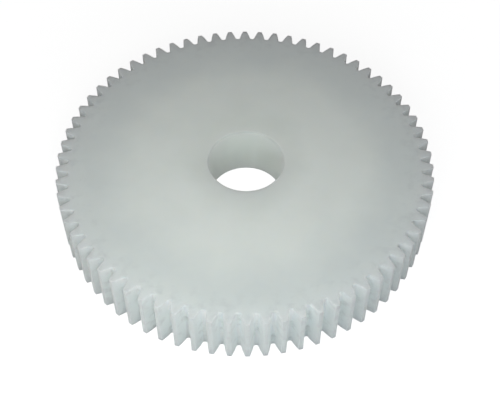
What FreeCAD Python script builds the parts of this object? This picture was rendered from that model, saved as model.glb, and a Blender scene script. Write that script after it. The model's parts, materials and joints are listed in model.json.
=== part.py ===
# Spur gear of natural nylon, one solid piece: a plain disc with straight involute
# teeth all round its rim and one round bore through its middle.
# Millimetres and degrees. The gear lies flat with its lower face on Z = 0. The Z axis
# is the gear's axis, and the origin is the middle of the lower face. One tooth space
# is centred on the X axis.

import FreeCAD, Part
import Sketcher
import math
import os

NODE = "spur_gear"

# Driving sizes, each with a note for its cell
SIZES = {
    "tooth_count": (70, "teeth round the rim"),
    "tooth_module": (1.25, "pitch diameter divided by the number of teeth"),
    "pressure_angle": (20, "slope of the flank at the pitch circle"),
    "addendum_ratio": (1.0, "tooth height above the pitch circle, in modules"),
    "dedendum_ratio": (1.25, "tooth depth below the pitch circle, in modules"),
    "fillet_ratio": (0.38, "corner radius at the root, in modules"),
    "overcut_ratio": (0.25, "how far the cutter passes the tip circle, in modules"),
    "face_width": (14, "length of the teeth along the axis"),
    "bore_diameter": (18, "hole for the shaft"),
    "bore_chamfer": (0.3, "broken edge at each end of the bore"),
}


def half_space_formula(radius_alias):
    """Gives the cell formula for half a tooth space's angle at one radius.

    A flank is an involute of the base circle, so the space opens from the pitch
    circle outwards as the involute function of the local pressure angle grows.
    """
    local_angle = f"(acos(base_radius / {radius_alias}) / 1deg)"
    local_involute = f"(tan({local_angle}) * 180 / pi - {local_angle})"
    pitch_involute = "(tan(pressure_angle) * 180 / pi - pressure_angle)"
    return f"=90 / tooth_count + {local_involute} - {pitch_involute}"


# Radii and angles that follow from the driving sizes
WORKED_OUT = {
    "pitch_radius": "=tooth_module * tooth_count / 2",
    "base_radius": "=pitch_radius * cos(pressure_angle)",
    "tip_radius": "=pitch_radius + addendum_ratio * tooth_module",
    "root_radius": "=pitch_radius - dedendum_ratio * tooth_module",
    "involute_foot_radius": "=max(base_radius; root_radius)",
    "involute_foot_half_space": half_space_formula("involute_foot_radius"),
    "widest_root_fillet": "=root_radius * sin(involute_foot_half_space)",
    "root_fillet": "=min(fillet_ratio * tooth_module; widest_root_fillet)",
    "flank_start_radius": "=max(base_radius; root_radius + root_fillet)",
    "flank_start_half_space": half_space_formula("flank_start_radius"),
    "pitch_half_space": half_space_formula("pitch_radius"),
    "flank_end_radius": "=tip_radius + overcut_ratio * tooth_module",
    "flank_end_half_space": half_space_formula("flank_end_radius"),
}

# Where a sketch constraint takes hold
START = 1
END = 2
CENTRE = 3
X_AXIS = -1
ORIGIN = (-1, 1)

# How far the count of spaces, worked out from their volume, may be off
COUNT_TOLERANCE = 0.01


def make_sheet(doc):
    """Fills the sheet: driving sizes as plain numbers, the rest as formulas."""
    sheet = doc.addObject("Spreadsheet::Sheet", "gear_sizes")
    row = 1
    for alias, (value, note) in SIZES.items():
        sheet.set(f"A{row}", alias)
        sheet.set(f"B{row}", str(value))
        sheet.set(f"C{row}", note)
        sheet.setAlias(f"B{row}", alias)
        row += 1
    for alias, formula in WORKED_OUT.items():
        sheet.set(f"A{row}", alias)
        sheet.set(f"B{row}", formula)
        sheet.setAlias(f"B{row}", alias)
        row += 1
    doc.recompute()
    return sheet


def origin_feature(body, role):
    """Finds one of the body's own origin planes or axes."""
    return next(item for item in body.Origin.OriginFeatures if item.Role == role)


def make_sketch(body, name, plane_role):
    """Adds a sketch on one of the body's own origin planes."""
    sketch = body.newObject("Sketcher::SketchObject", name)
    sketch.AttachmentSupport = (origin_feature(body, plane_role), [""])
    sketch.MapMode = "FlatFace"
    return sketch


def bind(sketch, name, formula, kind, *where):
    """Adds a named dimension to a sketch and binds it to the sheet."""
    value = sketch.evalExpression(formula)
    if kind == "Angle":
        value = math.radians(value)
    index = sketch.addConstraint(Sketcher.Constraint(kind, *where, value))
    sketch.renameConstraint(index, name)
    sketch.setExpression(f"Constraints.{name}", formula)


def polar(radius, angle):
    """The point of the sketch plane at a radius and an angle in degrees."""
    turned = math.radians(angle)
    return FreeCAD.Vector(radius * math.cos(turned), radius * math.sin(turned), 0)


def mirrored(point):
    """The same point on the other side of the tooth space's centre line."""
    return FreeCAD.Vector(point.x, -point.y, 0)


def arc_about(centre, start, end):
    """The arc from start to end, anticlockwise about a centre."""
    upward = FreeCAD.Vector(0, 0, 1)
    circle = Part.Circle(centre, upward, start.distanceToPoint(centre))
    first = math.atan2(start.y - centre.y, start.x - centre.x)
    last = math.atan2(end.y - centre.y, end.x - centre.x)
    return Part.ArcOfCircle(circle, first, last)


def turn_blank(body, sheet):
    """Turns the blank: a disc out to the tip circle, with its chamfered bore."""
    sketch = make_sketch(body, "blank_section", "XZ_Plane")
    bore_radius = sheet.bore_diameter / 2
    mouth_radius = bore_radius + sheet.bore_chamfer
    corners = [
        FreeCAD.Vector(mouth_radius, 0, 0),
        FreeCAD.Vector(sheet.tip_radius, 0, 0),
        FreeCAD.Vector(sheet.tip_radius, sheet.face_width, 0),
        FreeCAD.Vector(mouth_radius, sheet.face_width, 0),
        FreeCAD.Vector(bore_radius, sheet.face_width - sheet.bore_chamfer, 0),
        FreeCAD.Vector(bore_radius, sheet.bore_chamfer, 0),
    ]
    lines = []
    for start, end in zip(corners, corners[1:] + corners[:1]):
        lines.append(sketch.addGeometry(Part.LineSegment(start, end), False))
    for line, following in zip(lines, lines[1:] + lines[:1]):
        sketch.addConstraint(Sketcher.Constraint("Coincident", line, END, following, START))
    lower_face, rim, upper_face, upper_chamfer, bore_wall, lower_chamfer = lines
    sketch.addConstraint(Sketcher.Constraint("PointOnObject", lower_face, START, X_AXIS))
    sketch.addConstraint(Sketcher.Constraint("Horizontal", lower_face))
    sketch.addConstraint(Sketcher.Constraint("Horizontal", upper_face))
    sketch.addConstraint(Sketcher.Constraint("Vertical", rim))
    sketch.addConstraint(Sketcher.Constraint("Vertical", bore_wall))
    bind(sketch, "tip_radius", "gear_sizes.tip_radius", "DistanceX", *ORIGIN, rim, START)
    bind(sketch, "face_width", "gear_sizes.face_width", "DistanceY", rim, START, rim, END)
    bind(
        sketch, "bore_radius", "gear_sizes.bore_diameter / 2",
        "DistanceX", *ORIGIN, bore_wall, END,
    )
    chamfer = "gear_sizes.bore_chamfer"
    bind(
        sketch, "lower_chamfer_width", chamfer,
        "DistanceX", lower_chamfer, START, lower_chamfer, END,
    )
    bind(
        sketch, "lower_chamfer_depth", chamfer,
        "DistanceY", lower_chamfer, END, lower_chamfer, START,
    )
    bind(
        sketch, "upper_chamfer_width", chamfer,
        "DistanceX", upper_chamfer, END, upper_chamfer, START,
    )
    bind(
        sketch, "upper_chamfer_depth", chamfer,
        "DistanceY", upper_chamfer, END, upper_chamfer, START,
    )
    blank = body.newObject("PartDesign::Revolution", "blank")
    blank.Profile = sketch
    blank.ReferenceAxis = (sketch, ["V_Axis"])
    blank.Angle = 360
    return blank


def draw_tooth_space(body, sheet):
    """Draws the gap between two teeth, seen along the axis.

    Each flank is one arc through three points of its involute: just above the root
    fillet, on the pitch circle and past the tip circle. Each root corner is a fillet
    that touches the flank and the root circle. The drawing is the same on both sides
    of the X axis.
    """
    sketch = make_sketch(body, "tooth_space_section", "XY_Plane")
    middle = FreeCAD.Vector(0, 0, 0)
    foot = polar(sheet.flank_start_radius, sheet.flank_start_half_space)
    pitch_point = polar(sheet.pitch_radius, sheet.pitch_half_space)
    flank_end = polar(sheet.flank_end_radius, sheet.flank_end_half_space)
    flank_circle = Part.Arc(foot, pitch_point, flank_end).toShape().Curve
    flank_centre = flank_circle.Center

    # The fillet's centre is one fillet radius from the root circle and the flank
    to_root = sheet.root_radius + sheet.root_fillet
    to_flank = flank_circle.Radius + sheet.root_fillet
    between = flank_centre.Length
    cosine = (to_root**2 + between**2 - to_flank**2) / (2 * to_root * between)
    flank_centre_angle = math.degrees(math.atan2(flank_centre.y, flank_centre.x))
    fillet_angle = flank_centre_angle - math.degrees(math.acos(cosine))
    fillet_centre = polar(to_root, fillet_angle)
    root_end = polar(sheet.root_radius, fillet_angle)
    toward_flank = (flank_centre - fillet_centre).normalize()
    flank_start = fillet_centre + toward_flank * sheet.root_fillet

    outline = [
        arc_about(middle, mirrored(root_end), root_end),
        arc_about(fillet_centre, flank_start, root_end),
        arc_about(flank_centre, flank_start, flank_end),
        Part.LineSegment(flank_end, mirrored(flank_end)),
        arc_about(mirrored(flank_centre), mirrored(flank_end), mirrored(flank_start)),
        arc_about(mirrored(fillet_centre), mirrored(root_end), mirrored(flank_start)),
    ]
    edges = [sketch.addGeometry(edge, False) for edge in outline]
    root, left_fillet, left_flank, mouth, right_flank, right_fillet = edges
    for touching in (
        (root, END, left_fillet, END),
        (left_fillet, START, left_flank, START),
        (right_flank, END, right_fillet, END),
        (right_fillet, START, root, START),
    ):
        sketch.addConstraint(Sketcher.Constraint("Tangent", *touching))
    sketch.addConstraint(Sketcher.Constraint("Coincident", root, CENTRE, *ORIGIN))
    sketch.addConstraint(Sketcher.Constraint("Coincident", left_flank, END, mouth, START))
    sketch.addConstraint(Sketcher.Constraint("Coincident", mouth, END, right_flank, START))
    sketch.addConstraint(
        Sketcher.Constraint("Symmetric", left_flank, END, right_flank, START, X_AXIS)
    )
    sketch.addConstraint(
        Sketcher.Constraint("Symmetric", left_flank, CENTRE, right_flank, CENTRE, X_AXIS)
    )
    sketch.addConstraint(Sketcher.Constraint("Equal", left_fillet, right_fillet))
    bind(sketch, "root_radius", "gear_sizes.root_radius", "Radius", root)
    bind(sketch, "root_fillet", "gear_sizes.root_fillet", "Radius", left_fillet)

    # Spokes that hold the flank to its three points on the involute
    for name, point in (("flank_start", foot), ("pitch", pitch_point), ("flank_end", flank_end)):
        spoke = sketch.addGeometry(Part.LineSegment(middle, point), True)
        sketch.addConstraint(Sketcher.Constraint("Coincident", spoke, START, *ORIGIN))
        if name == "flank_end":
            sketch.addConstraint(Sketcher.Constraint("Coincident", spoke, END, left_flank, END))
        else:
            sketch.addConstraint(Sketcher.Constraint("PointOnObject", spoke, END, left_flank))
        bind(sketch, f"{name}_radius", f"gear_sizes.{name}_radius", "Distance", spoke)
        bind(sketch, f"{name}_angle", f"gear_sizes.{name}_half_space", "Angle", spoke)
    return sketch


def cut_teeth(body, sheet):
    """Cuts one tooth space through the blank and repeats it all the way round."""
    first_space = body.newObject("PartDesign::Pocket", "first_tooth_space")
    first_space.Profile = draw_tooth_space(body, sheet)
    first_space.Type = "ThroughAll"
    first_space.Reversed = True
    spaces = body.newObject("PartDesign::PolarPattern", "tooth_spaces")
    spaces.Originals = [first_space]
    spaces.Axis = (origin_feature(body, "Z_Axis"), [""])
    spaces.Angle = 360
    spaces.setExpression("Occurrences", "gear_sizes.tooth_count")
    body.Tip = spaces
    return first_space, spaces


def check_document(doc, body):
    """Stops if any object of the document failed or the body isn't one sound solid."""
    for item in doc.Objects:
        if "Invalid" in item.State or "Error" in item.State:
            raise RuntimeError(f"{item.Label} failed: {item.State}")
        if item.TypeId == "Sketcher::SketchObject" and item.solve() != 0:
            raise RuntimeError(f"{item.Label} can't be solved")
    shape = body.Shape
    if shape.isNull() or not shape.isValid() or len(shape.Solids) != 1:
        raise RuntimeError(f"{body.Label} isn't one sound solid")


def check_cuts(sheet, blank, first_space, spaces):
    """Stops if the tooth spaces didn't all take the same volume from the blank."""
    one_space = blank.Shape.Volume - first_space.Shape.Volume
    all_spaces = blank.Shape.Volume - spaces.Shape.Volume
    if one_space <= 0 or abs(all_spaces / one_space - sheet.tooth_count) > COUNT_TOLERANCE:
        raise RuntimeError(f"tooth spaces took {all_spaces:.1f} mm3, one took {one_space:.1f}")


def main():
    """Builds the gear and writes it to parts/."""
    doc = FreeCAD.newDocument("nylon_spur_gear")
    sheet = make_sheet(doc)
    gear = doc.addObject("PartDesign::Body", NODE)
    gear.Label = NODE
    blank = turn_blank(gear, sheet)
    first_space, spaces = cut_teeth(gear, sheet)
    doc.recompute()
    check_document(doc, gear)
    check_cuts(sheet, blank, first_space, spaces)
    os.makedirs("parts", exist_ok=True)
    gear.Shape.exportStep(os.path.join("parts", f"{gear.Label}.step"))
    print(f"{gear.Label}: {sheet.tooth_count} teeth, {gear.Shape.Volume:.0f} mm3")


main()
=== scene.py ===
"""Dresses a spur gear of natural nylon, and sets its floor, lamps and camera.

Everything is in metres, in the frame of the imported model. The gear lies flat on the
floor with its axis on Z, and one tooth space is centred on the X axis.
"""

import json
import logging
import math
from dataclasses import dataclass
from enum import Enum
from typing import Callable

import bmesh
import bpy
from mathutils import Matrix, Vector


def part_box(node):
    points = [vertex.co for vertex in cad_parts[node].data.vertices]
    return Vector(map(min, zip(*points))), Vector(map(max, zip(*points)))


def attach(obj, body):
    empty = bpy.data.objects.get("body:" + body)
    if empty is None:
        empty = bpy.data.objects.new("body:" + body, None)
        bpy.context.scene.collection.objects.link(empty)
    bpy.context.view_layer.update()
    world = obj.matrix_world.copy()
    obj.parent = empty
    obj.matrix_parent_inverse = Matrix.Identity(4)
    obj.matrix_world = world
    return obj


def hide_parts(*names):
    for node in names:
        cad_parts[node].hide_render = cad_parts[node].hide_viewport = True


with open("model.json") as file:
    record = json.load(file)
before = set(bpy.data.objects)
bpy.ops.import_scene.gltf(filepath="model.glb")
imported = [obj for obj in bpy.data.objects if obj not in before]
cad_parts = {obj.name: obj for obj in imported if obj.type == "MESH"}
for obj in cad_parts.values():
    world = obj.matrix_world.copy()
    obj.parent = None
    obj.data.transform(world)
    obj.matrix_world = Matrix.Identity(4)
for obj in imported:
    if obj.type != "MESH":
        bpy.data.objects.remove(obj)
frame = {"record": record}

LOG = logging.getLogger("spur_gear_scene")
MM = 0.001
NODE = "spur_gear"
NEARLY = 0.01 * MM
EDGE_MARK = "tooth_edge"

# A Mix node names its sockets alike for each type, so those for colours go by number
UNDER, OVER, MIXED = 6, 7, 2


def linear(code: str) -> tuple[float, float, float, float]:
    """Turns an sRGB hex colour into the linear colour that shaders take.

    Args:
        code: The colour as six hex digits, such as "D2D7D4".

    Returns:
        Red, green, blue and an alpha of 1.
    """
    parts = [int(code[at:at + 2], 16) / 255 for at in (0, 2, 4)]
    low = [part / 12.92 for part in parts]
    high = [((part + 0.055) / 1.055) ** 2.4 for part in parts]
    red, green, blue = (
        dim if part <= 0.04045 else bright for part, dim, bright in zip(parts, low, high)
    )
    return red, green, blue, 1.0


def add_node(
    tree: bpy.types.NodeTree,
    kind: str,
    inputs: dict[str | int, object] | None = None,
    **settings: object,
) -> bpy.types.Node:
    """Adds one node with its settings and links.

    Args:
        tree: The material's or world's node tree.
        kind: Blender's name for the node's type.
        inputs: A value or another node's output for each input that isn't left alone.
        **settings: The node's own options.

    Returns:
        The new node.
    """
    node = tree.nodes.new(kind)
    for name, value in settings.items():
        setattr(node, name, value)
    for name, source in (inputs or {}).items():
        if isinstance(source, bpy.types.NodeSocket):
            tree.links.new(source, node.inputs[name])
        else:
            node.inputs[name].default_value = source
    return node


def fresh_tree(owner: bpy.types.Material | bpy.types.World) -> bpy.types.NodeTree:
    """Empties the node tree of a material or world and returns it."""
    owner.use_nodes = True
    owner.node_tree.nodes.clear()
    return owner.node_tree


class Part(Enum):
    """What a selection in edit mode is made of."""

    POINT = "VERT"
    EDGE = "EDGE"
    FACE = "FACE"


def pick(gear: bpy.types.Object, part: Part, wanted: Callable[[object], bool]) -> None:
    """Selects, in edit mode, just the points, edges or faces that pass a test.

    Args:
        gear: The mesh object being edited.
        part: Whether points, edges or faces are tested.
        wanted: Says of one of them whether it is to be selected.
    """
    bpy.ops.mesh.select_mode(type=part.value)
    bpy.ops.mesh.select_all(action="DESELECT")
    form = bmesh.from_edit_mesh(gear.data)
    form.verts.index_update()
    rows = {Part.POINT: form.verts, Part.EDGE: form.edges, Part.FACE: form.faces}
    for item in rows[part]:
        if wanted(item):
            item.select_set(True)
    bmesh.update_edit_mesh(gear.data)


@dataclass(frozen=True)
class ToothForm:
    """A full-depth involute tooth: the outline of the space between two teeth.

    Lengths are in metres and ratios in modules. The outline goes from the middle of a
    space over the root fillet and the flank to the middle of the next tooth.
    """

    count: int
    module: float
    pressure_angle: float = math.radians(20)
    addendum_ratio: float = 1.0
    dedendum_ratio: float = 1.25
    fillet_ratio: float = 0.38
    fillet_points: int = 5
    flank_points: int = 5

    @property
    def points_per_pitch(self) -> int:
        """How many points the outline has from one tooth space to the next."""
        return 2 * (self.fillet_points + self.flank_points + 2)

    @property
    def pitch_radius(self) -> float:
        """The radius at which tooth and space are equally wide."""
        return self.module * self.count / 2

    @property
    def base_radius(self) -> float:
        """The radius of the circle that the involutes unwind from."""
        return self.pitch_radius * math.cos(self.pressure_angle)

    @property
    def tip_radius(self) -> float:
        """The radius over the tooth tips."""
        return self.pitch_radius + self.addendum_ratio * self.module

    @property
    def root_radius(self) -> float:
        """The radius at the bottom of the tooth spaces."""
        return self.pitch_radius - self.dedendum_ratio * self.module

    def half_space(self, radius: float) -> float:
        """Half the angle of a tooth space at one radius, in radians.

        Args:
            radius: Distance from the gear's axis, outside the base circle.

        Returns:
            The angle from the middle of the space to the flank.
        """
        local_angle = math.acos(self.base_radius / radius)
        opening = math.tan(local_angle) - local_angle
        opening -= math.tan(self.pressure_angle) - self.pressure_angle
        return math.pi / (2 * self.count) + opening

    def half_outline(self) -> list[tuple[float, float]]:
        """The outline from the middle of a space to the middle of a tooth.

        The root fillet touches the root circle and the flank. Its centre lies on the
        flank's parallel curve, which is an involute of the same base circle.

        Returns:
            Radius and angle of each point, in metres and radians.
        """
        fillet = self.fillet_ratio * self.module
        centre_radius = self.root_radius + fillet
        centre_angle = self.half_space(centre_radius) - fillet / self.base_radius
        centre = Vector((centre_radius, 0)) @ Matrix.Rotation(-centre_angle, 2)
        reach = math.sqrt(centre_radius**2 - self.base_radius**2)
        flank_start = math.hypot(self.base_radius, reach - fillet)
        foot_angle = self.half_space(flank_start)
        foot = Vector((flank_start, 0)) @ Matrix.Rotation(-foot_angle, 2)
        toward_foot = math.atan2(foot.y - centre.y, foot.x - centre.x)
        toward_root = centre_angle + math.pi

        outline = [(self.root_radius, 0.0)]
        for step in range(self.fillet_points):
            share = step / (self.fillet_points - 1)
            turned = toward_root + (toward_foot - toward_root) * share
            point = centre + Vector((math.cos(turned), math.sin(turned))) * fillet
            outline.append((point.length, math.atan2(point.y, point.x)))
        for step in range(self.flank_points + 1):
            share = (step + 1) / (self.flank_points + 1)
            radius = flank_start + (self.tip_radius - flank_start) * share
            outline.append((radius, self.half_space(radius)))
        outline.append((self.tip_radius, math.pi / self.count))
        return outline


@dataclass(frozen=True)
class Spot:
    """Sockets that tell a material where on the gear a point lies."""

    place: bpy.types.NodeSocket
    radius: bpy.types.NodeSocket
    height: bpy.types.NodeSocket

    @classmethod
    def read(cls, tree: bpy.types.NodeTree) -> "Spot":
        """Adds the nodes that read a point's place, distance from the axis and height.

        Args:
            tree: The material's node tree.

        Returns:
            The three sockets.
        """
        place = add_node(tree, "ShaderNodeTexCoord").outputs["Object"]
        apart = add_node(tree, "ShaderNodeSeparateXYZ", {"Vector": place})
        flat = add_node(
            tree, "ShaderNodeCombineXYZ",
            {"X": apart.outputs["X"], "Y": apart.outputs["Y"]},
        )
        radius = add_node(
            tree, "ShaderNodeVectorMath", {0: flat.outputs["Vector"]}, operation="LENGTH"
        )
        return cls(place, radius.outputs["Value"], apart.outputs["Z"])


@dataclass(frozen=True)
class Tint:
    """A colour laid over the ones below it, and the share of it that each place takes."""

    share: bpy.types.NodeSocket
    colour: bpy.types.NodeSocket | tuple[float, float, float, float]


@dataclass(frozen=True)
class HobbedNylon:
    """Natural nylon, as it is when turned on its faces and bored, with hobbed teeth.

    Unfilled nylon is milky, and light goes well below its surface, so its shades are soft
    and its edges have no hard line. Cut nylon is satin. A pale bloom stands in for what
    the milky surface sends back at a slant. The wide tints are painted light and shade:
    the face is palest in a ring half way out and greyer toward bore and rim, the tooth
    spaces are whiter than the tips and the bore's chamfers are darker. Part of the
    whitening along the tooth edges is a painted highlight. The reach of the light, the
    strength of the bloom and the wide tints were set by likeness to the photograph. How
    the gear was made is assumed, and so are its burrs and tool rings, which the
    photograph is too coarse to show.
    """

    name: str = "natural_nylon_turned_and_hobbed"
    slot: str = "nylon"
    refractive_index: float = 1.53
    satin: float = 0.65
    satin_change: float = 0.06
    bloom: float = 1.0
    bloom_softness: float = 0.9
    light_reach: tuple[float, float, float] = (11 * MM, 10 * MM, 9 * MM)
    pattern_detail: float = 3.0

    # Painted light and shade on the face, from a pale ring half way out toward the bore and
    # the rim
    painted_light_core_colour: str = "E7F0E8"
    rim_painted_shade_colour: str = "D2DDD9"
    bore_painted_shade_colour: str = "D1DCD2"
    core_radius: float = 22 * MM
    core_width: float = 2 * MM
    margin_start: float = 16 * MM
    cloud_size: float = 11 * MM
    cloud_share: float = 0.6
    # Painted shade on the bore's chamfers
    chamfer_painted_shade_colour: str = "C4CFC6"

    # Painted light and shade on the teeth, whiter in the spaces than on the tips, set a
    # little in from the faces and inside the roots
    space_painted_light_colour: str = "F2FFFC"
    land_painted_shade_colour: str = "D1E1DC"
    wall_start: float = 0.08 * MM
    root_margin: float = 1 * MM

    # Faint patches and pale specks by the rim, of sizes that were chosen freely. The
    # specks are whitened burrs and partly a painted highlight of the tooth edges
    bruised_colour: str = "C2CDCA"
    bruise_size: float = 2.2 * MM
    bruise_reach: float = 6 * MM
    bruise_range: tuple[float, float] = (0.5, 0.72)
    strained_and_highlight_colour: str = "ECF4F1"
    burr_size: float = 1.6 * MM
    burr_detail: float = 2.0
    burr_range: tuple[float, float] = (0.48, 0.62)

    # Rings of the facing tool, with a spacing and a depth that are assumed
    tool_mark_spacing: float = 0.35 * MM
    tool_mark_depth: float = 0.004 * MM

    def make(self, plan: "SpurGear") -> bpy.types.Material:
        """Builds the material for a gear.

        Args:
            plan: Gives the sizes that the tints follow.

        Returns:
            The material.
        """
        material = bpy.data.materials.new(self.name)
        tree = fresh_tree(material)
        spot = Spot.read(tree)
        patches = add_node(
            tree, "ShaderNodeTexNoise",
            {
                "Vector": spot.place,
                "Scale": 1 / self.bruise_size,
                "Detail": self.pattern_detail,
            },
        ).outputs["Fac"]
        colour = self.paint_face_light_and_shade(tree, spot)
        tints = (
            self.paint_chamfer_shade(tree, spot, plan),
            self.paint_teeth_light_and_shade(tree, spot, plan),
            self.bruise_rim(tree, spot, plan, patches),
            self.whiten_burrs_and_paint_highlight(tree, spot),
        )
        for tint in tints:
            laid = add_node(
                tree, "ShaderNodeMix",
                {"Factor": tint.share, UNDER: colour, OVER: tint.colour},
                data_type="RGBA",
            )
            colour = laid.outputs[MIXED]
        satin = add_node(
            tree, "ShaderNodeMapRange",
            {
                "Value": patches,
                "To Min": self.satin - self.satin_change,
                "To Max": self.satin + self.satin_change,
            },
        )
        shader = add_node(
            tree, "ShaderNodeBsdfPrincipled",
            {
                "Base Color": colour,
                "Roughness": satin.outputs["Result"],
                "IOR": self.refractive_index,
                "Subsurface Weight": 1.0,
                "Subsurface Radius": self.light_reach,
                "Subsurface Scale": 1.0,
                "Sheen Weight": self.bloom,
                "Sheen Roughness": self.bloom_softness,
                "Normal": self.mark_rings(tree, spot),
            },
            subsurface_method="RANDOM_WALK",
        )
        add_node(tree, "ShaderNodeOutputMaterial", {"Surface": shader.outputs["BSDF"]})
        return material

    def paint_face_light_and_shade(self, tree: bpy.types.NodeTree, spot: Spot) -> bpy.types.NodeSocket:
        """Paints light and shade: the face palest in a cloudy ring, greyer toward bore and
        rim.

        Args:
            tree: The material's node tree.
            spot: Where the shaded point lies.

        Returns:
            The colour.
        """
        from_core = add_node(
            tree, "ShaderNodeMath", {0: spot.radius, 1: self.core_radius},
            operation="SUBTRACT",
        )
        off_core = add_node(
            tree, "ShaderNodeMath", {0: from_core.outputs["Value"]}, operation="ABSOLUTE"
        )
        margin = add_node(
            tree, "ShaderNodeMapRange",
            {
                "Value": off_core.outputs["Value"],
                "From Min": self.core_width,
                "From Max": self.margin_start,
            },
            interpolation_type="SMOOTHSTEP",
        )
        clouds = add_node(
            tree, "ShaderNodeTexNoise",
            {
                "Vector": spot.place,
                "Scale": 1 / self.cloud_size,
                "Detail": self.pattern_detail,
            },
        )
        cloud = add_node(
            tree, "ShaderNodeMapRange",
            {
                "Value": clouds.outputs["Fac"],
                "To Min": -self.cloud_share,
                "To Max": self.cloud_share,
            },
        )
        painted_shade_share = add_node(
            tree, "ShaderNodeMath",
            {0: margin.outputs["Result"], 1: cloud.outputs["Result"]},
            operation="ADD",
        )
        inside_core = add_node(
            tree, "ShaderNodeMath", {0: spot.radius, 1: self.core_radius},
            operation="LESS_THAN",
        )
        painted_shade_colour = add_node(
            tree, "ShaderNodeMix",
            {
                "Factor": inside_core.outputs["Value"],
                UNDER: linear(self.rim_painted_shade_colour),
                OVER: linear(self.bore_painted_shade_colour),
            },
            data_type="RGBA",
        )
        face = add_node(
            tree, "ShaderNodeMix",
            {
                "Factor": painted_shade_share.outputs["Value"],
                UNDER: linear(self.painted_light_core_colour),
                OVER: painted_shade_colour.outputs[MIXED],
            },
            data_type="RGBA",
        )
        return face.outputs[MIXED]

    def paint_chamfer_shade(
        self, tree: bpy.types.NodeTree, spot: Spot, plan: "SpurGear"
    ) -> Tint:
        """Paints shade on the bore's chamfers, so that they stand out less as bright rings.

        Args:
            tree: The material's node tree.
            spot: Where the shaded point lies.
            plan: Gives the sizes of the bore and its chamfers.

        Returns:
            The tint of the chamfers.
        """
        half_width = plan.bore_chamfer / 2
        on_chamfer = add_node(
            tree, "ShaderNodeMath",
            {0: spot.radius, 1: plan.bore_radius + half_width, 2: half_width - NEARLY},
            operation="COMPARE",
        )
        return Tint(on_chamfer.outputs["Value"], linear(self.chamfer_painted_shade_colour))

    def paint_teeth_light_and_shade(
        self, tree: bpy.types.NodeTree, spot: Spot, plan: "SpurGear"
    ) -> Tint:
        """Paints light and shade on the teeth: the spaces whiter than the tips.

        The photograph shows no such tint. It makes the spaces look less dark.

        Args:
            tree: The material's node tree.
            spot: Where the shaded point lies.
            plan: Gives the thickness and the radii of the teeth.

        Returns:
            The tint of the teeth.
        """
        half_thickness = plan.thickness / 2
        half_height = add_node(
            tree, "ShaderNodeMath", {0: spot.height, 1: half_thickness},
            operation="SUBTRACT",
        )
        from_half = add_node(
            tree, "ShaderNodeMath", {0: half_height.outputs["Value"]},
            operation="ABSOLUTE",
        )
        on_wall = add_node(
            tree, "ShaderNodeMapRange",
            {
                "Value": from_half.outputs["Value"],
                "From Min": half_thickness,
                "From Max": half_thickness - self.wall_start,
            },
        )
        outside = add_node(
            tree, "ShaderNodeMath",
            {0: spot.radius, 1: plan.tooth.root_radius - self.root_margin},
            operation="GREATER_THAN",
        )
        on_flank = add_node(
            tree, "ShaderNodeMath",
            {0: on_wall.outputs["Result"], 1: outside.outputs["Value"]},
            operation="MULTIPLY",
        )
        up_tooth = add_node(
            tree, "ShaderNodeMapRange",
            {
                "Value": spot.radius,
                "From Min": plan.tooth.root_radius,
                "From Max": plan.tooth.tip_radius,
            },
        )
        flank = add_node(
            tree, "ShaderNodeMix",
            {
                "Factor": up_tooth.outputs["Result"],
                UNDER: linear(self.space_painted_light_colour),
                OVER: linear(self.land_painted_shade_colour),
            },
            data_type="RGBA",
        )
        return Tint(on_flank.outputs["Value"], flank.outputs[MIXED])

    def bruise_rim(
        self,
        tree: bpy.types.NodeTree,
        spot: Spot,
        plan: "SpurGear",
        patches: bpy.types.NodeSocket,
    ) -> Tint:
        """Adds faint grey patches near the rim.

        Args:
            tree: The material's node tree.
            spot: Where the shaded point lies.
            plan: Gives the radius of the roots.
            patches: The noise that places them.

        Returns:
            The tint of the patches.
        """
        lowest, highest = self.bruise_range
        patch = add_node(
            tree, "ShaderNodeMapRange",
            {"Value": patches, "From Min": lowest, "From Max": highest},
        )
        near_rim = add_node(
            tree, "ShaderNodeMapRange",
            {
                "Value": spot.radius,
                "From Min": plan.tooth.root_radius - self.bruise_reach,
                "From Max": plan.tooth.root_radius,
            },
        )
        share = add_node(
            tree, "ShaderNodeMath",
            {0: patch.outputs["Result"], 1: near_rim.outputs["Result"]},
            operation="MULTIPLY",
        )
        return Tint(share.outputs["Value"], linear(self.bruised_colour))

    def whiten_burrs_and_paint_highlight(self, tree: bpy.types.NodeTree, spot: Spot) -> Tint:
        """Adds whitened burrs and a painted highlight along parts of the tooth edges.

        Args:
            tree: The material's node tree.
            spot: Where the shaded point lies.

        Returns:
            The tint of the burrs and of the painted highlight.
        """
        edge = add_node(tree, "ShaderNodeAttribute", attribute_name=EDGE_MARK)
        burrs = add_node(
            tree, "ShaderNodeTexNoise",
            {
                "Vector": spot.place,
                "Scale": 1 / self.burr_size,
                "Detail": self.burr_detail,
            },
        )
        lowest, highest = self.burr_range
        burr = add_node(
            tree, "ShaderNodeMapRange",
            {"Value": burrs.outputs["Fac"], "From Min": lowest, "From Max": highest},
        )
        share = add_node(
            tree, "ShaderNodeMath",
            {0: edge.outputs["Fac"], 1: burr.outputs["Result"]},
            operation="MULTIPLY",
        )
        return Tint(share.outputs["Value"], linear(self.strained_and_highlight_colour))

    def mark_rings(self, tree: bpy.types.NodeTree, spot: Spot) -> bpy.types.NodeSocket:
        """Adds the faint rings of a facing tool.

        Args:
            tree: The material's node tree.
            spot: Where the shaded point lies.

        Returns:
            The normal.
        """
        ring = add_node(
            tree, "ShaderNodeMath",
            {0: spot.radius, 1: 2 * math.pi / self.tool_mark_spacing},
            operation="MULTIPLY",
        )
        marks = add_node(
            tree, "ShaderNodeMath", {0: ring.outputs["Value"]}, operation="SINE"
        )
        bump = add_node(
            tree, "ShaderNodeBump",
            {"Height": marks.outputs["Value"], "Distance": self.tool_mark_depth},
        )
        return bump.outputs["Normal"]


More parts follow.
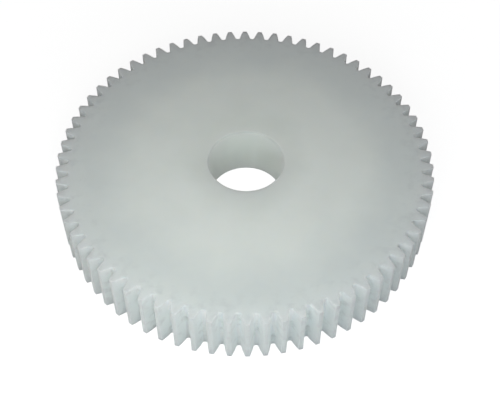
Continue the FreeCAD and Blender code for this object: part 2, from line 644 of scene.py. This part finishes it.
@dataclass
class SpurGear:
    """The gear: a plain disc with teeth all round and a chamfered bore."""

    tooth: ToothForm
    thickness: float
    bore_radius: float
    bore_chamfer: float
    bore_points: int = 168
    edge_band: float = 0.45 * MM
    edge_rounding: float = 0.08 * MM
    sharp_angle: float = math.radians(35)

    def build(self, finish: HobbedNylon) -> bpy.types.Object:
        """Models the gear and dresses it.

        Args:
            finish: The finish of the whole gear.

        Returns:
            The finished gear, in place on its body.
        """
        gear = self.start_outline()
        self.shape_teeth(gear)
        self.fill_face(gear)
        self.raise_disc(gear)
        self.chamfer_bore(gear)
        self.soften_edges(gear)
        gear.data.materials.append(finish.make(self))
        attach(gear, "root")
        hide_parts(NODE)
        return gear

    def start_outline(self) -> bpy.types.Object:
        """Adds the ring of points that becomes the tooth outline, on the tip circle."""
        bpy.ops.object.select_all(action="DESELECT")
        bpy.ops.mesh.primitive_circle_add(
            vertices=self.tooth.count * self.tooth.points_per_pitch,
            radius=self.tooth.tip_radius,
        )
        gear = bpy.context.object
        gear.name = "nylon_spur_gear"
        gear.data.name = gear.name
        return gear

    def shape_teeth(self, gear: bpy.types.Object) -> None:
        """Moves like points of all the teeth together, in and along the ring.

        Args:
            gear: The ring of evenly spaced points.
        """
        per_pitch = self.tooth.points_per_pitch
        step = 2 * math.pi / (self.tooth.count * per_pitch)
        stations = {}
        for point in gear.data.vertices:
            turned = math.atan2(point.co.y, point.co.x)
            stations[point.index] = round(turned / step) % per_pitch
        bpy.ops.object.mode_set(mode="EDIT")
        for station, (radius, angle) in enumerate(self.tooth.half_outline()):
            size = radius / self.tooth.tip_radius
            slide = angle - station * step
            for side in (1, -1):
                if side < 0 and station in (0, per_pitch // 2):
                    continue
                wanted = side * station % per_pitch
                pick(gear, Part.POINT, lambda point: stations[point.index] == wanted)
                bpy.ops.transform.resize(value=(size, size, 1), center_override=(0, 0, 0))
                bpy.ops.transform.rotate(
                    value=-side * slide, orient_axis="Z", center_override=(0, 0, 0)
                )
        bpy.ops.object.mode_set(mode="OBJECT")

    def fill_face(self, gear: bpy.types.Object) -> None:
        """Fills the sheet between the tooth outline and the circle of the bore.

        A narrow band is set in from both edges. It keeps the face flat beside the
        rounded edges and carries the mark for their whitened burrs and painted highlight.

        Args:
            gear: The outline of the teeth.
        """
        outline_points = len(gear.data.vertices)
        bpy.ops.object.mode_set(mode="EDIT")
        bpy.ops.mesh.select_all(action="SELECT")
        bpy.ops.mesh.edge_face_add()
        bpy.ops.mesh.inset(thickness=self.edge_band, depth=0, use_even_offset=True)
        bpy.ops.mesh.delete(type="ONLY_FACE")
        bpy.ops.mesh.select_all(action="DESELECT")
        bpy.ops.mesh.primitive_circle_add(vertices=self.bore_points, radius=self.bore_radius)
        bpy.ops.mesh.extrude_edges_move()
        widen = 1 + self.edge_band / self.bore_radius
        bpy.ops.transform.resize(value=(widen, widen, 1), center_override=(0, 0, 0))
        pick(gear, Part.FACE, lambda face: face.normal.z < 0)
        bpy.ops.mesh.flip_normals()
        pick(gear, Part.EDGE, lambda edge: self.beside_gap(edge, outline_points))
        bpy.ops.mesh.bridge_edge_loops()
        bpy.ops.object.mode_set(mode="OBJECT")
        marks = gear.data.attributes.new(EDGE_MARK, "FLOAT", "POINT")
        values = [float(point.index < outline_points) for point in gear.data.vertices]
        marks.data.foreach_set("value", values)

    def beside_gap(self, edge: bmesh.types.BMEdge, outline_points: int) -> bool:
        """Says whether an edge borders the gap between the two bands.

        Args:
            edge: An edge of the sheet while the gap is open.
            outline_points: How many points the tooth outline has.

        Returns:
            True on the inner edge of the rim's band and the outer edge of the bore's.
        """
        if len(edge.link_faces) != 1:
            return False
        first = min(point.index for point in edge.verts)
        around_bore = 2 * outline_points
        return first >= outline_points and (
            first < around_bore or first >= around_bore + self.bore_points
        )

    def raise_disc(self, gear: bpy.types.Object) -> None:
        """Extrudes the sheet to the full thickness, with a band at each end of the walls.

        Args:
            gear: The flat toothed sheet with its hole.
        """
        bpy.ops.object.mode_set(mode="EDIT")
        bpy.ops.mesh.select_all(action="SELECT")
        bpy.ops.mesh.extrude_region_move(
            TRANSFORM_OT_translate={"value": (0, 0, self.thickness)}
        )
        for height in (self.edge_band, self.thickness - self.edge_band):
            bpy.ops.mesh.select_all(action="SELECT")
            bpy.ops.mesh.bisect(plane_co=(0, 0, height), plane_no=(0, 0, 1))
        bpy.ops.mesh.select_all(action="SELECT")
        bpy.ops.mesh.normals_make_consistent(inside=False)
        bpy.ops.object.mode_set(mode="OBJECT")
        # Only near the faces do the edges keep their whitened burrs and painted highlight
        burr_and_highlight_marks = gear.data.attributes[EDGE_MARK].data
        for point in gear.data.vertices:
            if self.edge_band / 2 < point.co.z < self.thickness - self.edge_band / 2:
                burr_and_highlight_marks[point.index].value = 0.0

    def chamfer_bore(self, gear: bpy.types.Object) -> None:
        """Breaks the edge at each end of the bore.

        Args:
            gear: The toothed disc.
        """

        def at_mouth(edge: bmesh.types.BMEdge) -> bool:
            """Says whether an edge lies on the rim of the bore."""
            for point in edge.verts:
                on_bore = abs(point.co.xy.length - self.bore_radius) < NEARLY
                from_face = min(abs(point.co.z), abs(point.co.z - self.thickness))
                on_face = from_face < NEARLY
                if not (on_bore and on_face):
                    return False
            return True

        bpy.ops.object.mode_set(mode="EDIT")
        pick(gear, Part.EDGE, at_mouth)
        bpy.ops.mesh.bevel(offset=self.bore_chamfer, segments=1, affect="EDGES")
        bpy.ops.object.mode_set(mode="OBJECT")

    def soften_edges(self, gear: bpy.types.Object) -> None:
        """Rounds every sharp edge a little and shades the rest smooth.

        Args:
            gear: The toothed disc with its chamfered bore.
        """
        bpy.ops.object.mode_set(mode="EDIT")
        pick(gear, Part.EDGE, lambda edge: edge.calc_face_angle(0) > self.sharp_angle)
        bpy.ops.mesh.bevel(
            offset=self.edge_rounding, segments=2, profile=0.5, affect="EDGES"
        )
        bpy.ops.object.mode_set(mode="OBJECT")
        bpy.ops.object.shade_smooth()
        weighted = gear.modifiers.new("flat faces stay flat", "WEIGHTED_NORMAL")
        weighted.mode = "FACE_AREA"
        weighted.weight = 50
        bpy.ops.object.modifier_apply(modifier=weighted.name)


def direct_sight(tree: bpy.types.NodeTree) -> bpy.types.NodeSocket:
    """Adds nodes that tell sight, direct or in a gloss or a glass, from lighting.

    Args:
        tree: The node tree that needs it.

    Returns:
        A socket with 1 for what is seen and 0 for light that falls on other things.
    """
    path = add_node(tree, "ShaderNodeLightPath")
    reflected = add_node(
        tree, "ShaderNodeMath",
        {0: path.outputs["Is Camera Ray"], 1: path.outputs["Is Glossy Ray"]},
        operation="MAXIMUM",
    )
    refracted = add_node(
        tree, "ShaderNodeMath",
        {0: reflected.outputs["Value"], 1: path.outputs["Is Transmission Ray"]},
        operation="MAXIMUM",
    )
    return refracted.outputs["Value"]


@dataclass(frozen=True)
class PaleFloor:
    """Matt pale sheet under the gear.

    It lights the gear as a light grey sheet would. Seen by the camera it is white. Its
    white is a little less near the gear, so that the gear's shadow stays on it.
    """

    size: float = 6.0
    drop: float = 0.02 * MM
    sheet_colour: str = "F2F2F1"
    shadow_share: float = 0.45
    near_glow: float = 0.85
    near_reach: float = 60 * MM
    far_reach: float = 200 * MM

    def build(self) -> bpy.types.Object:
        """Adds the floor just below the gear and returns it."""
        bpy.ops.object.select_all(action="DESELECT")
        bpy.ops.mesh.primitive_plane_add(size=self.size, location=(0, 0, -self.drop))
        floor = bpy.context.object
        floor.name = "floor"
        bpy.ops.object.transform_apply(location=True, rotation=True, scale=True)
        floor.data.materials.append(self.make())
        return floor

    def make(self) -> bpy.types.Material:
        """Builds the floor's material.

        Returns:
            The material.
        """
        material = bpy.data.materials.new("matt_pale_sheet")
        tree = fresh_tree(material)
        sheet = add_node(
            tree, "ShaderNodeBsdfDiffuse", {"Color": linear(self.sheet_colour)}
        )
        share = self.shadow_share
        shadowed = add_node(
            tree, "ShaderNodeBsdfDiffuse", {"Color": (share, share, share, 1)}
        )
        place = add_node(tree, "ShaderNodeTexCoord").outputs["Object"]
        away = add_node(tree, "ShaderNodeVectorMath", {0: place}, operation="LENGTH")
        glow = add_node(
            tree, "ShaderNodeMapRange",
            {
                "Value": away.outputs["Value"],
                "From Min": self.near_reach,
                "From Max": self.far_reach,
                "To Min": self.near_glow,
                "To Max": 1.0,
            },
        )
        white = add_node(
            tree, "ShaderNodeEmission", {"Strength": glow.outputs["Result"]}
        )
        shown = add_node(
            tree, "ShaderNodeAddShader",
            {0: shadowed.outputs["BSDF"], 1: white.outputs["Emission"]},
        )
        surface = add_node(
            tree, "ShaderNodeMixShader",
            {
                "Fac": direct_sight(tree),
                1: sheet.outputs["BSDF"],
                2: shown.outputs["Shader"],
            },
        )
        add_node(
            tree, "ShaderNodeOutputMaterial", {"Surface": surface.outputs["Shader"]}
        )
        return material


@dataclass(frozen=True)
class SoftLamp:
    """A soft lamp that looks at the middle of the gear."""

    name: str
    azimuth: float
    elevation: float
    distance: float
    size: float
    power: float
    colour: str

    def build(self, target: Vector) -> bpy.types.Object:
        """Adds the lamp.

        Args:
            target: The point that it faces.

        Returns:
            The lamp's object.
        """
        data = bpy.data.lights.new(self.name, "AREA")
        data.shape = "DISK"
        data.size = self.size
        data.energy = self.power
        data.color = linear(self.colour)[:3]
        lamp = bpy.data.objects.new(self.name, data)
        turned, raised = math.radians(self.azimuth), math.radians(self.elevation)
        outward = Vector(
            (
                math.cos(turned) * math.cos(raised),
                math.sin(turned) * math.cos(raised),
                math.sin(raised),
            )
        )
        lamp.location = target + outward * self.distance
        lamp.rotation_euler = outward.to_track_quat("Z", "Y").to_euler()
        bpy.context.scene.collection.objects.link(lamp)
        return lamp


@dataclass(frozen=True)
class Studio:
    """The plain room: an even pale surround and six soft lamps.

    The lamps were fitted to the photograph's shading and then set further one by one.
    """

    surround_colour: str = "FFFFFF"
    surround_strength: float = 0.118
    lamps: tuple[SoftLamp, ...] = (
        SoftLamp(
            "near_left", azimuth=-117, elevation=46, distance=0.097, size=0.08,
            power=0.032, colour="FEFFFE",
        ),
        SoftLamp(
            "near_right", azimuth=-63, elevation=46, distance=0.097, size=0.08,
            power=0.011, colour="EEF6FF",
        ),
        SoftLamp(
            "near_top", azimuth=-45, elevation=67, distance=0.109, size=0.08,
            power=0.0198, colour="FFFCF9",
        ),
        SoftLamp(
            "front", azimuth=-73, elevation=22, distance=0.225, size=0.06,
            power=0.0395, colour="EEF8FF",
        ),
        SoftLamp(
            "high_front", azimuth=-90, elevation=28, distance=0.4, size=0.3,
            power=0.078, colour="F8FDFF",
        ),
        SoftLamp(
            "low_front", azimuth=-90, elevation=8, distance=0.4, size=0.3,
            power=0.0704, colour="F8FDFF",
        ),
    )

    def build(self, target: Vector) -> None:
        """Makes the surround and the lamps.

        Args:
            target: The point that the lamps face.
        """
        world = bpy.data.worlds.new("pale_room")
        bpy.context.scene.world = world
        tree = fresh_tree(world)
        lighting = add_node(
            tree, "ShaderNodeBackground",
            {"Color": linear(self.surround_colour), "Strength": self.surround_strength},
        )
        white = add_node(tree, "ShaderNodeBackground", {"Color": (1, 1, 1, 1)})
        surface = add_node(
            tree, "ShaderNodeMixShader",
            {
                "Fac": direct_sight(tree),
                1: lighting.outputs["Background"],
                2: white.outputs["Background"],
            },
        )
        add_node(tree, "ShaderNodeOutputWorld", {"Surface": surface.outputs["Shader"]})
        for lamp in self.lamps:
            lamp.build(target)


@dataclass(frozen=True)
class ProductCamera:
    """The camera: in front of the gear, looking steeply down on it.

    Its place, turns, lens and shift were fitted to the outline in the photograph.
    """

    place: tuple[float, float, float] = (12.38 * MM, -146.79 * MM, 191.42 * MM)
    heading: float = 1.555
    elevation: float = 51.995
    roll: float = 2.47
    lens: float = 69.243
    shift: tuple[float, float] = (-0.0597, -0.0384)
    sensor_width: float = 36
    sight: tuple[float, float] = (5 * MM, 20)

    def build(self) -> bpy.types.Object:
        """Adds the camera and makes it the scene's own."""
        data = bpy.data.cameras.new("product_camera")
        data.sensor_width = self.sensor_width
        data.lens = self.lens
        data.shift_x, data.shift_y = self.shift
        data.clip_start, data.clip_end = self.sight
        camera = bpy.data.objects.new("product_camera", data)
        turn = Matrix.Rotation(math.radians(self.heading), 4, "Z")
        turn @= Matrix.Rotation(math.radians(90 - self.elevation), 4, "X")
        turn @= Matrix.Rotation(math.radians(self.roll), 4, "Z")
        camera.matrix_world = Matrix.Translation(self.place) @ turn
        bpy.context.scene.collection.objects.link(camera)
        bpy.context.scene.camera = camera
        return camera


def gear_from_frame() -> SpurGear:
    """Reads the gear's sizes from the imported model.

    Returns:
        The gear, not built yet.
    """
    lowest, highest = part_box(NODE)
    thickness = highest.z - lowest.z
    tip_radius = (highest.y - lowest.y) / 2
    bore = next(mount for mount in frame["record"]["mounts"] if mount["name"] == "bore")
    # Of 69 to 72 teeth, 70 fitted the outline in the photograph best
    tooth_count = 70
    module = tip_radius / (tooth_count / 2 + 1)
    return SpurGear(
        tooth=ToothForm(count=tooth_count, module=module),
        thickness=thickness,
        bore_radius=bore["dims"]["r_mm"] * MM,
        bore_chamfer=(thickness - bore["dims"]["length_mm"] * MM) / 2,
    )


def main() -> None:
    """Builds the gear, the floor, the room and the camera, in that order."""
    logging.basicConfig(level=logging.INFO, format="%(name)s: %(message)s")
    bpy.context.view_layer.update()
    gear = gear_from_frame()
    piece = gear.build(HobbedNylon())
    LOG.info("%s: %d faces", piece.name, len(piece.data.polygons))
    floor = PaleFloor().build()
    LOG.info("%s: %.1f m wide", floor.name, floor.dimensions.x)
    studio = Studio()
    studio.build(Vector((0, 0, gear.thickness)))
    LOG.info("lamps: %d", len(studio.lamps))
    camera = ProductCamera().build()
    LOG.info("%s: %.1f mm lens", camera.name, camera.data.lens)
    bpy.context.scene.view_settings.view_transform = "Standard"


if __name__ == "__main__":
    main()
